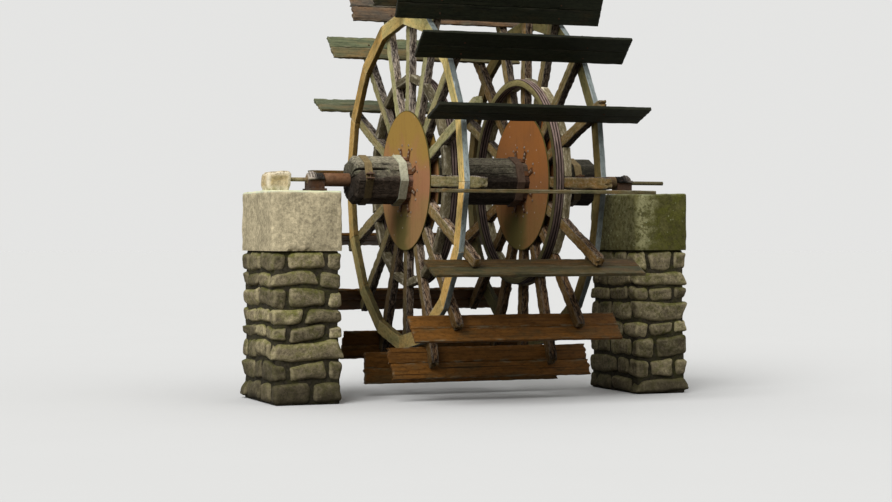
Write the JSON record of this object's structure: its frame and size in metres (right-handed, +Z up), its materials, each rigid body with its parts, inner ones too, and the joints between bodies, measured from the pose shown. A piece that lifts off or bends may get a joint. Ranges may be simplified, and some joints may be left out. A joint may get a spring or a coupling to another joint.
{
  "type": "undershot water wheel on two bearing piers",
  "caption": "Undershot water wheel with paired timber arms, mitred rims, clamping discs and float boards, turning on iron gudgeons between masonry piers.",
  "frame": {"origin": "level of the piers' feet, midway between their outer faces and under the shaft's axis", "axes": "+X along the shaft to the right pier, +Y across the stream away from the viewer, +Z up"},
  "size_m": [4.4, 4.0334, 4.1569],
  "materials": {
    "rubble": "rubble stone in mortar, mossy and damp near the foot",
    "pale_concrete": "weathered beige concrete",
    "mossy_concrete": "grey-olive concrete with moss and lichen",
    "limestone": "pale rough limestone",
    "dark_iron": "rusty cast iron",
    "ribbed_iron": "grey-brown rusty cast iron",
    "shaft_timber": "grey weathered oak, black below",
    "rusty_iron": "rusted wrought iron",
    "pale_collar": "pale grey-green weathered collar",
    "brown_collar": "brown weathered collar",
    "rusty_steel": "smooth rust-brown steel plate",
    "arm_timber": "rough weathered timber",
    "rim_timber": "orange-tan weathered timber",
    "hoop_timber": "dark purple-brown timber",
    "felloe_timber": "light brown weathered timber",
    "float_timber": "wet dark boards, worn grey-brown"
  },
  "bodies": {
    "piers": {"left_pier_base": "rubble", "left_pier_cap": "pale_concrete", "right_pier_base": "rubble", "right_pier_cap": "mossy_concrete", "left_end_stone": "limestone", "left_bearing_block": "dark_iron", "left_bearing_cap": "ribbed_iron", "right_bearing_block": "dark_iron", "right_bearing_cap": "ribbed_iron"},
    "wheel": {"shaft": "shaft_timber", "shaft_bands": "rusty_iron", "left_gudgeon": "rusty_iron", "right_gudgeon": "rusty_iron", "left_collars": "pale_collar", "right_collars": "brown_collar", "left_outer_disc": "rusty_steel", "left_inner_disc": "rusty_steel", "right_inner_disc": "rusty_steel", "right_outer_disc": "rusty_steel", "left_cleats": "rusty_iron", "right_cleats": "rusty_iron", "left_arms": "arm_timber", "right_arms": "arm_timber", "left_rim": "rim_timber", "right_rim": "rim_timber", "left_hoop": "hoop_timber", "right_hoop": "hoop_timber", "left_felloes": "felloe_timber", "right_felloes": "felloe_timber", "float_01": "float_timber", "float_02": "float_timber", "float_03": "float_timber", "float_04": "float_timber", "float_05": "float_timber", "float_06": "float_timber", "float_07": "float_timber", "float_08": "float_timber", "float_09": "float_timber", "float_10": "float_timber", "float_11": "float_timber", "float_12": "float_timber", "float_13": "float_timber", "float_14": "float_timber", "float_15": "float_timber", "float_16": "float_timber"}
  },
  "joints": [
    {"name": "wheel_turn", "type": "hinge", "parent": "piers", "child": "wheel", "pos_m": [0, 0, 2.14025], "axis": [1, 0, 0], "continuous": true}
  ]
}
